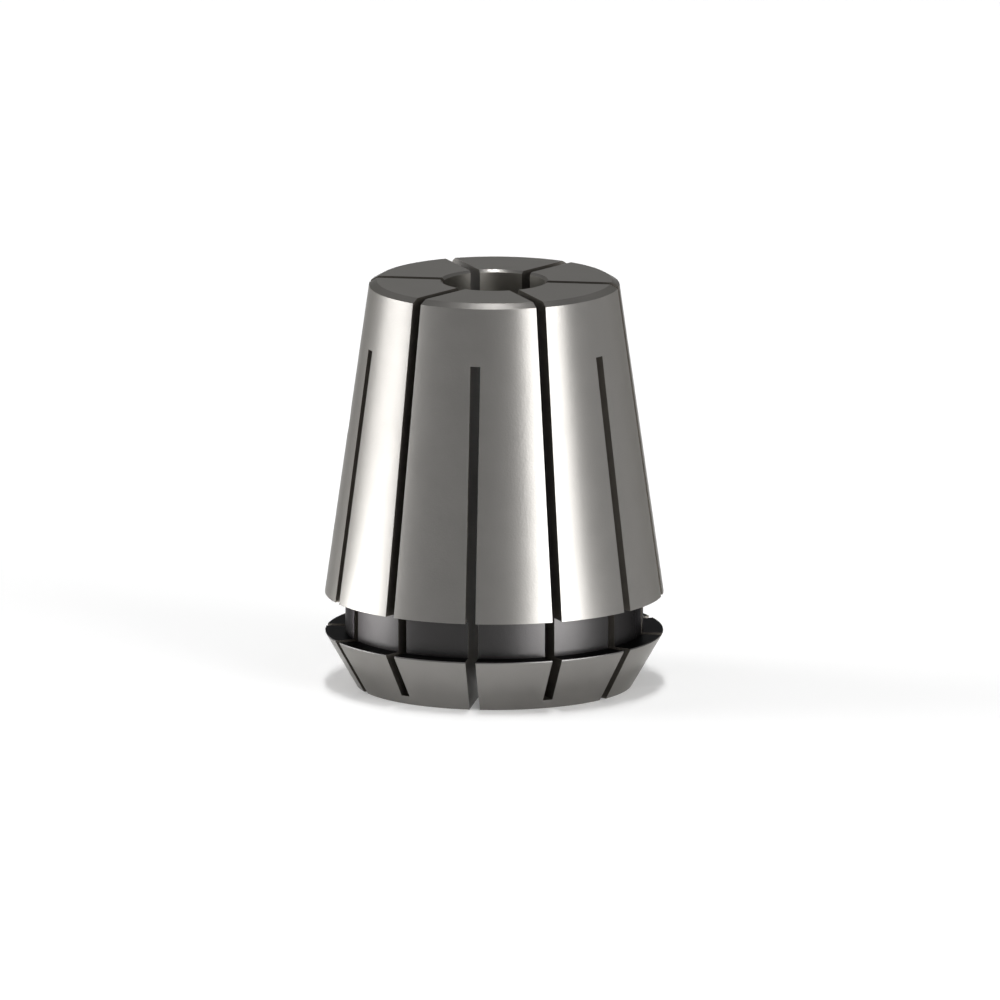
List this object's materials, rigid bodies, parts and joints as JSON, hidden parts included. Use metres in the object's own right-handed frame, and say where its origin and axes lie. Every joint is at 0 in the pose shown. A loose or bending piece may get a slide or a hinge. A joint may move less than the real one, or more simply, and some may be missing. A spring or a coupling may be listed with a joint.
{
  "type": "er collet",
  "caption": "One-piece slit spring collet: shallow seat taper, extraction groove, nose cone for a clamping nut and a straight bore that grips a tool shank.",
  "frame": {"origin": "centre of the nose face, the large flat end that it stands on", "axes": "+Z along the collet's axis from the nose to the small rear end; the first slot from the nose faces -Y"},
  "size_m": [0.033, 0.033, 0.04],
  "materials": {
    "ground_steel": "fine ground on the outside and in the bore, darker hardened skin in the extraction groove"
  },
  "bodies": {
    "root": {"collet": "ground_steel"}
  },
  "joints": []
}
